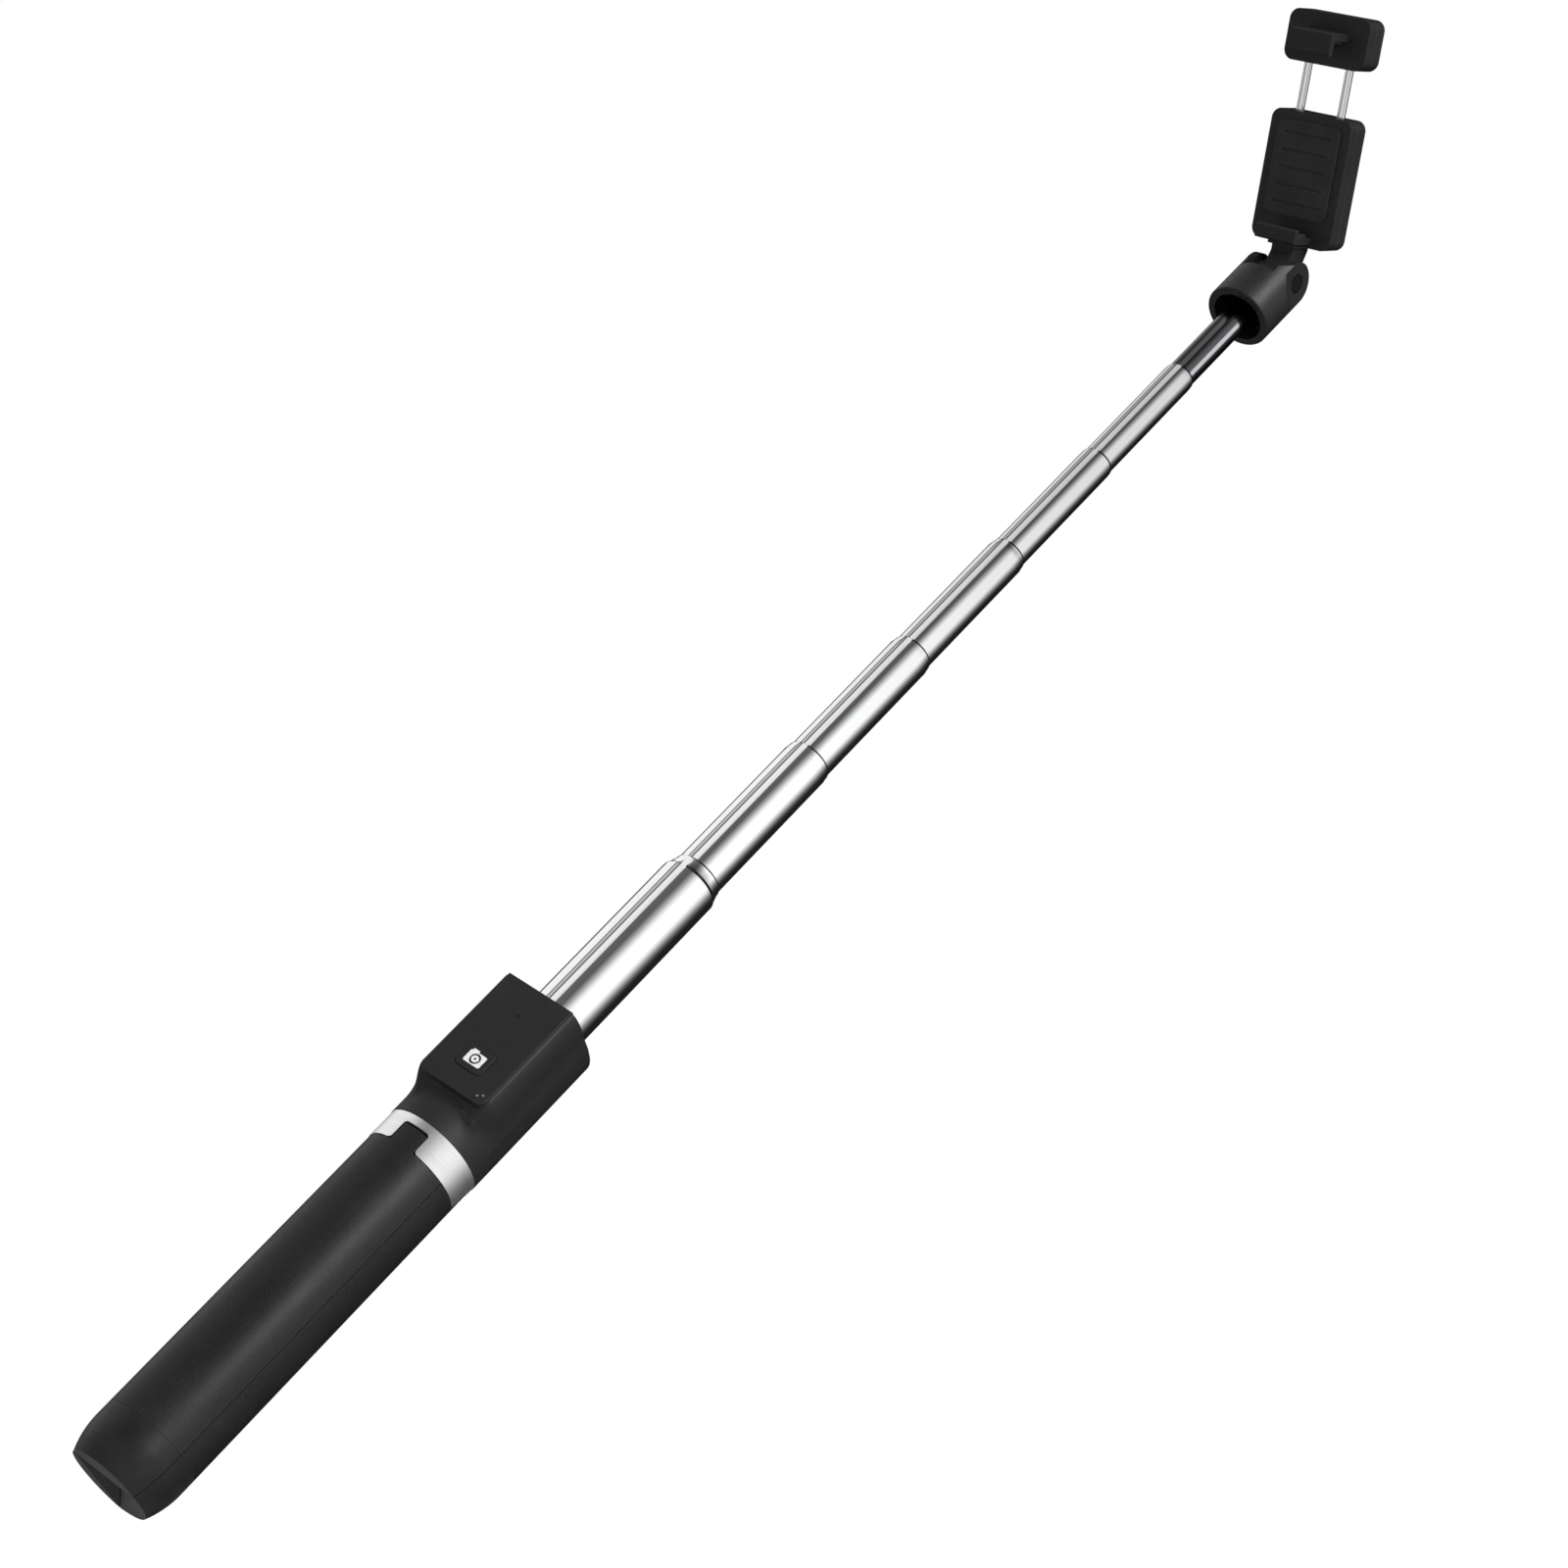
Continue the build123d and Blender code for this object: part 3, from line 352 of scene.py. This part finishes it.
def wall_ramp(nodes, links):
    """The walls' brightness, picked by compass direction."""
    place = nodes.new("ShaderNodeTexCoord").outputs["Generated"]
    parts = nodes.new("ShaderNodeSeparateXYZ")
    links.new(place, parts.inputs[0])
    bearing = nodes.new("ShaderNodeMath")
    bearing.operation = "ARCTAN2"
    links.new(parts.outputs["X"], bearing.inputs[0])
    links.new(parts.outputs["Y"], bearing.inputs[1])
    unit = nodes.new("ShaderNodeMapRange")
    unit.inputs["From Min"].default_value = -math.pi
    unit.inputs["From Max"].default_value = math.pi
    links.new(bearing.outputs[0], unit.inputs["Value"])
    camera_bearing = 180 - math.degrees(EYE_AZIMUTH)
    stops = sorted(((camera_bearing - aside + 180) % 360 / 360, value) for aside, value in WALLS)
    seam = stops[0][1]
    stops = [(0.0, seam), *stops, (1.0, seam)]
    ramp = nodes.new("ShaderNodeValToRGB")
    elements = ramp.color_ramp.elements
    while len(elements) < len(stops):
        elements.new(0.5)
    for element, (where, value) in zip(elements, stops):
        element.position = where
        element.color = (value, value, value, 1.0)
    links.new(unit.outputs["Result"], ramp.inputs["Fac"])
    ceiling = nodes.new("ShaderNodeMapRange")
    ceiling.inputs["From Min"].default_value = math.sin(CEILING_FROM)
    ceiling.inputs["From Max"].default_value = math.sin(CEILING_FULL)
    ceiling.inputs["To Min"].default_value = 1.0
    ceiling.inputs["To Max"].default_value = CEILING_LIGHT
    links.new(parts.outputs["Z"], ceiling.inputs["Value"])
    shade = nodes.new("ShaderNodeVectorMath")
    shade.operation = "SCALE"
    links.new(ramp.outputs["Color"], shade.inputs[0])
    links.new(ceiling.outputs["Result"], shade.inputs["Scale"])
    return shade.outputs["Vector"]


def make_walls():
    """Sky that lights the stick as the walls do, and is plain white to look at."""
    world = bpy.data.worlds.new("studio")
    bpy.context.scene.world = world
    world.use_nodes = True
    tree = world.node_tree
    light = tree.nodes["Background"]
    tree.links.new(wall_ramp(tree.nodes, tree.links), light.inputs["Color"])
    plain = tree.nodes.new("ShaderNodeBackground")
    plain.inputs["Color"].default_value = (1.0, 1.0, 1.0, 1.0)
    seen = tree.nodes.new("ShaderNodeLightPath").outputs["Is Camera Ray"]
    choose = tree.nodes.new("ShaderNodeMixShader")
    tree.links.new(seen, choose.inputs["Fac"])
    tree.links.new(light.outputs[0], choose.inputs[1])
    tree.links.new(plain.outputs[0], choose.inputs[2])
    tree.links.new(choose.outputs[0], tree.nodes["World Output"].inputs["Surface"])
    bpy.context.scene.view_settings.view_transform = "Standard"


def make_floor():
    bpy.ops.mesh.primitive_grid_add(x_subdivisions=40, y_subdivisions=40, size=FLOOR_SIZE,
                                    location=(0, 0, cad_box[0].z - FLOOR_DROP))
    floor = bpy.context.object
    floor.name = "floor"
    paper = Surface("floor_paper")
    paper.link(paper.mix(paper.noise(3, 3), (0.86, 0.86, 0.86), (0.90, 0.90, 0.90)), paper.shader.inputs["Base Color"])
    paper.set(Roughness=0.8)
    floor.data.materials.append(paper.material)


# ---------------------------------------------------------------- mesh tools

MM = 0.001


def soft_min(first, second, blend):
    """The smaller of two values, rounded where they meet."""
    near = max(blend - abs(first - second), 0.0) / blend
    return min(first, second) - near * near * blend / 4


def soft_max(first, second, blend):
    return -soft_min(-first, -second, blend)


def skin(name, rings):
    """A closed surface through rings of points that run from the first ring round to it again."""
    count = len(rings[0])
    faces = []
    for ring in range(len(rings)):
        above = (ring + 1) % len(rings)
        for point in range(count):
            after = (point + 1) % count
            faces.append((ring * count + point, ring * count + after, above * count + after, above * count + point))
    mesh = bpy.data.meshes.new(name)
    mesh.from_pydata([p for ring in rings for p in ring], [], faces)
    mesh.shade_smooth()
    piece = bpy.data.objects.new(name, mesh)
    bpy.context.scene.collection.objects.link(piece)
    return piece


def arc(centre, radius, start, end, steps, tall=None):
    """Points (across, along) on an arc, in degrees from the outward direction; tall stretches it along."""
    turns = [math.radians(start + (end - start) * step / steps) for step in range(steps + 1)]
    tall = tall or radius
    return [(centre[0] + radius * math.cos(t), centre[1] + tall * math.sin(t)) for t in turns]


# ---------------------------------------------------------------- tubes

TUBE_COUNT = 7
GROOVE_ANGLE = math.radians(-100)
GROOVE_DEPTH = 0.9 * MM
GROOVE_TOP_HALF = 2.2 * MM
GROOVE_FLOOR_HALF = 1.0 * MM
GROOVE_BLEND = 0.27 * MM    # rounding of the groove's edges
GROOVE_SPAN = math.radians(36)
TUBE_WALL = 0.35 * MM
TAPERS = [6.0 * MM, 3.0 * MM, 3.0 * MM, 3.0 * MM, 2.6 * MM, 2.6 * MM]
LIP_EDGE = 0.45 * MM        # how far a rolled mouth stands proud of the next tube
LIP_GAP = 0.06 * MM
LIP_ROUND, LIP_TALL = 0.50 * MM, 1.5 * MM
STEP_ROUND, STEP_TALL = 0.70 * MM, 1.3 * MM


def tube_turns():
    """Directions round a tube, from its groove's middle, close together across the groove."""
    near = [GROOVE_SPAN * (step / 45 - 1) for step in range(91)]
    rest = 2 * math.pi - 2 * GROOVE_SPAN
    far = [GROOVE_SPAN + rest * step / 100 for step in range(1, 100)]
    return near + far


def tube_ring(radius, floor, height):
    """One ring of a tube: a circle with the groove's dent down to the floor's distance."""
    slope = GROOVE_DEPTH / (GROOVE_TOP_HALF - GROOVE_FLOOR_HALF)
    ring = []
    for turn in tube_turns():
        distance = radius
        if abs(turn) < GROOVE_SPAN:
            flat = floor / math.cos(turn)
            side = abs(math.sin(turn))
            wall = (floor - slope * GROOVE_FLOOR_HALF) / max(math.cos(turn) - slope * side, 0.05)
            dent = soft_max(flat, wall, GROOVE_BLEND)
            distance = soft_min(radius, dent, GROOVE_BLEND)
        angle = GROOVE_ANGLE + turn
        ring.append((distance * math.cos(angle), distance * math.sin(angle), height))
    return ring


def mouth_profile(radius, mouth, taper, lip_r):
    """Outer line from the straight tube, over a rounded step where the tubes differ much, to the rolled lip."""
    line = []
    if radius - lip_r > STEP_ROUND:
        line += arc((radius - STEP_ROUND, mouth - taper), STEP_ROUND, 0, 75, 8, STEP_TALL)
        step_r, step_z = line[-1]
        line.append((step_r - 0.06 * MM, step_z + 0.5 * MM))
    else:
        line.append((radius, mouth - taper))
    line += arc((lip_r - LIP_ROUND, mouth - LIP_TALL), LIP_ROUND, 0, 90, 10, LIP_TALL)
    return line


def make_tube(index):
    """One telescopic tube with its rolled-in mouth, as a closed thin wall."""
    name = f"tube_{index + 1}"
    low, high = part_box(name)
    radius = (high.x - low.x) / 2
    last = index == TUBE_COUNT - 1
    floor = radius - GROOVE_DEPTH
    outside = [(radius, low.z + (high.z - low.z) * step / 12) for step in range(12)]
    if last:
        outside += arc((radius - LIP_ROUND, high.z - LIP_ROUND), LIP_ROUND, 0, 90, 6)
        inner = radius - 0.5 * MM
    else:
        next_low, next_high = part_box(f"tube_{index + 2}")
        inner = (next_high.x - next_low.x) / 2 + LIP_GAP
        taper = TAPERS[index]
        outside = [p for p in outside if p[1] < high.z - taper - MM]
        outside += mouth_profile(radius, high.z, taper, inner - LIP_GAP + LIP_EDGE)
    rings = [tube_ring(r, floor, z) for r, z in outside]
    inner_floor = inner - GROOVE_DEPTH
    rings.append(tube_ring(inner, inner_floor, high.z - 0.15 * MM))
    rings.append(tube_ring(inner, inner_floor, high.z - 6 * MM))
    if not last:
        wide = radius - TUBE_WALL
        rings.append(tube_ring(wide, wide - GROOVE_DEPTH, high.z - taper - 2 * MM))
        rings.append(tube_ring(wide, wide - GROOVE_DEPTH, low.z))
    else:
        rings.append(tube_ring(inner, inner_floor, low.z))
    piece = skin(f"drawn_{name}", rings)
    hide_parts(name)
    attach(piece, name)
    piece.data.materials.append(MATERIALS["dark_tube" if last else "chrome_tube"])


# ---------------------------------------------------------------- collar

BORE_R = 11.95 * MM
HUB_SPACE_R, HUB_SPACE_TOP = 15.52 * MM, 128.02 * MM
remote_low, remote_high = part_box("remote_top_shell")
FLARE_BOTTOM, FLARE_TOP = remote_low.z - 10.6 * MM, remote_low.z + 2.0 * MM
FLANK_START = Vector((16.95, 3.9)) * MM
FACE_LOW, FACE_HIGH = Vector((11.4, 12.2)) * MM, Vector((13.5, 20.3)) * MM
COLLAR_BLEND = 1.6 * MM
RIM_ROUND = 0.9 * MM
POCKET_GAP = 0.25 * MM
CATCHES = [(Vector((6.3, 132.2)) * MM, 0.6 * MM), (Vector((10.4, 131.4)) * MM, 0.6 * MM)]
CATCH_HALF, CATCH_BROAD = 2.5 * MM, 0.95 * MM


def line_distance(first, second, turn):
    """How far from the origin a ray in this direction meets the line through two points (across, forward)."""
    ahead = Vector((math.sin(turn), math.cos(turn)))
    along = second - first
    cross = ahead.x * along.y - ahead.y * along.x
    reach = (first.x * along.y - first.y * along.x) / cross if abs(cross) > 1e-9 else 1.0
    return reach if reach > 0 else 1.0


def flare(height):
    """0 below the flare, 1 above it, and a smooth concave rise between."""
    part = min(max((height - FLARE_BOTTOM) / (FLARE_TOP - FLARE_BOTTOM), 0.0), 1.4)
    return max(soft_min(0.18 * part + 0.82 * part * part, 1.0, 0.25), 0.0)


def collar_distance(turn, height, round_r):
    """Distance of the collar's skin from the axis; turn is counted from the face, in radians."""
    aside = abs(turn)
    if aside > math.pi / 2:
        return round_r
    face = FACE_LOW.lerp(FACE_HIGH, flare(height))
    shoulder = Vector((face.x + 1 * MM + (face.y - 12 * MM) * 0.16, face.y * 0.8))
    front = face.y / max(math.cos(aside), 0.05)
    chamfer = line_distance(face, shoulder, aside)
    flank = line_distance(shoulder, FLANK_START, aside)
    straight = soft_min(soft_min(front, chamfer, COLLAR_BLEND), flank, COLLAR_BLEND)
    widest = round_r / max(math.sin(aside), 0.05)
    return min(soft_max(round_r, straight, COLLAR_BLEND), widest)


def catch_rise(point):
    """Height of the two small crescent finger catches at a place (across, up) on the flare."""
    rise = 0.0
    for centre, tall in CATCHES:
        across, up = point - centre
        up += across * across / (9 * MM)
        if abs(across) < CATCH_HALF and abs(up) < CATCH_BROAD:
            ends = math.cos(across / CATCH_HALF * math.pi / 2)
            rise = max(rise, tall * ends * math.cos(up / CATCH_BROAD * math.pi / 2))
    return rise


def collar_ring(height, round_r, inset):
    ring = []
    for step in range(360):
        turn = -math.pi + 2 * math.pi * (step + 0.5) / 360
        distance = collar_distance(turn, height, round_r) - inset
        distance += catch_rise(Vector((distance * math.sin(turn), height))) if abs(turn) < 1.2 else 0
        ring.append((distance * math.sin(turn), -distance * math.cos(turn), height))
    return ring


def bore_ring(radius, height):
    turns = [-math.pi + 2 * math.pi * (step + 0.5) / 360 for step in range(360)]
    return [(radius * math.sin(t), -radius * math.cos(t), height) for t in turns]


def pocket_cutter(low, high, top):
    """The remote's outline with its two round lower corners, grown by the seam and run out at the front and top."""
    half, bottom = high.x + POCKET_GAP, low.z - POCKET_GAP
    corner = 3 * MM + POCKET_GAP
    right = arc((half - corner, bottom + corner), corner, 0, -90, 8)
    outline = [(half, top), *right, *[(-x, z) for x, z in reversed(right)], (-half, top)]
    back = high.y + POCKET_GAP
    points = [(x, y, z) for y in (low.y - 5 * MM, back) for x, z in outline]
    count = len(outline)
    faces = [tuple(range(count)), tuple(reversed(range(count, 2 * count)))]
    faces += [(i, i + count, (i + 1) % count + count, (i + 1) % count) for i in range(count)]
    mesh = bpy.data.meshes.new("pocket")
    mesh.from_pydata(points, [], faces)
    cutter = bpy.data.objects.new("pocket", mesh)
    bpy.context.scene.collection.objects.link(cutter)
    return cutter


def cut_out(piece, cutter):
    """Take the cutter's volume out of the piece, for good."""
    cut = piece.modifiers.new("cut", "BOOLEAN")
    cut.object = cutter
    cut.operation = "DIFFERENCE"
    cut.solver = "EXACT"
    bpy.context.view_layer.update()
    solid = piece.evaluated_get(bpy.context.evaluated_depsgraph_get())
    mesh = bpy.data.meshes.new_from_object(solid)
    piece.modifiers.clear()
    piece.data = mesh
    bpy.data.objects.remove(cutter)


def make_collar():
    """The remote's collar: a round ring below that flares out to flat flanks and a flat face."""
    low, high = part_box("collar_shell")
    round_r = high.x
    heights = [low.z + (high.z - RIM_ROUND - low.z) * step / 150 for step in range(151)]
    rings = [collar_ring(height, round_r, 0) for height in heights]
    for depth, height in arc((0, high.z - RIM_ROUND), RIM_ROUND, 0, 90, 6)[1:]:
        rings.append(collar_ring(height, round_r, RIM_ROUND - depth))
    rings.append(bore_ring(BORE_R, high.z))
    rings += [bore_ring(BORE_R, HUB_SPACE_TOP), bore_ring(HUB_SPACE_R, HUB_SPACE_TOP), bore_ring(HUB_SPACE_R, low.z)]
    piece = skin("collar_body", rings)
    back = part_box("remote_bottom_cover")[1]
    cut_out(piece, pocket_cutter(remote_low, Vector((remote_high.x, back.y, 0)), high.z + 5 * MM))
    piece.data.shade_smooth()
    piece.data.set_sharp_from_angle(angle=math.radians(35))
    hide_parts("collar_shell")
    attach(piece, "handle")
    piece.data.materials.clear()
    piece.data.materials.append(MATERIALS["collar_plastic"])


def area_light(name, azimuth, elevation, distance, size, power):
    """A soft square light aimed at the middle of the stick."""
    middle = (cad_box[0] + cad_box[1]) / 2
    a, e = math.radians(azimuth), math.radians(elevation)
    back = Vector((math.sin(a) * math.cos(e), -math.cos(a) * math.cos(e), math.sin(e)))
    light = bpy.data.objects.new(name, bpy.data.lights.new(name, "AREA"))
    light.data.shape = "RECTANGLE"
    light.data.size, light.data.size_y = size
    light.data.energy = power
    light.location = middle + back * distance
    light.rotation_mode = "QUATERNION"
    light.rotation_quaternion = back.to_track_quat("Z", "Y")
    bpy.context.scene.collection.objects.link(light)
    return light


def light_only(light, piece):
    """The light falls on one piece alone."""
    lit = bpy.data.collections.new(f"lit_by_{light.name}")
    lit.objects.link(piece)
    light.light_linking.receiver_collection = lit


def keep_off_metal(light):
    """The light falls on everything but bare metal, which shows the white walls alone."""
    bare_metal = [MATERIALS[name] for name in BARE_METAL]
    lit = bpy.data.collections.new("lit_by_key")
    for piece in bpy.context.scene.objects:
        if piece.type != "MESH":
            continue
        if not any(slot.material in bare_metal for slot in piece.material_slots):
            lit.objects.link(piece)
    light.light_linking.receiver_collection = lit


make_camera()
make_walls()
make_floor()
key_light = area_light("key", 40, 30, 1.6, (0.45, 1.3), 40)
strip_light = area_light("strip", 84, 30, 1.6, (0.70, 1.7), 20)

# ---------------------------------------------------------------- materials of the CAD pieces

BARE_METAL = ("chrome_tube", "dark_tube", "silver_ring")
BLACK = (0.010, 0.010, 0.0107)
MATERIALS = {
    # Each moulded plastic's second colour is both its wear and its painted edge highlight.
    "black_plastic": moulded("black_plastic", BLACK, (0.045, 0.045, 0.048), 0.42, 1500, 0.00003),
    "collar_plastic": moulded("collar_plastic", (0.013, 0.013, 0.0137), (0.024, 0.024, 0.026), 0.52, 1700, 0.00003),
    "remote_plastic": moulded("remote_plastic", (0.012, 0.012, 0.0126), (0.024, 0.024, 0.026), 0.50, 1700, 0.00003),
    "foot_rubber": rubber("foot_rubber", (0.009, 0.009, 0.0095), 0.46),
    "pad_rubber": rubber("pad_rubber", (0.012, 0.012, 0.0125), 0.62),
    "silver_ring": satin_silver("silver_ring"),
    # The chrome's second colour is its painted shade near the head.
    "chrome_tube": chrome("chrome_tube", (0.93, 0.935, 0.94), (0.60, 0.603, 0.61), 0.045),
    "dark_tube": chrome("dark_tube", (0.08, 0.081, 0.085), (0.08, 0.081, 0.085), 0.10),
    "steel": turned_steel("steel", (0.60, 0.61, 0.62), 0.32),
    "black_screw": turned_steel("black_screw", (0.035, 0.035, 0.038), 0.38),
    "white_print": white_inlay("white_print"),
    "inner_plastic": moulded("inner_plastic", (0.05, 0.05, 0.053), (0.12, 0.12, 0.125), 0.40, 1200, 0.00002),
    "circuit_green": board_green("circuit_green"),
    "clear_pipe": clear_plastic("clear_pipe"),
}

for part in frame["record"]["subparts"]:
    node = nodes[part["node"]]
    for slot in node.material_slots:
        slot.material = MATERIALS[part["material_slot"]]

for tube in range(TUBE_COUNT):
    make_tube(tube)
make_collar()
keep_off_metal(key_light)
light_only(strip_light, bpy.data.objects[f"drawn_tube_{TUBE_COUNT}"])
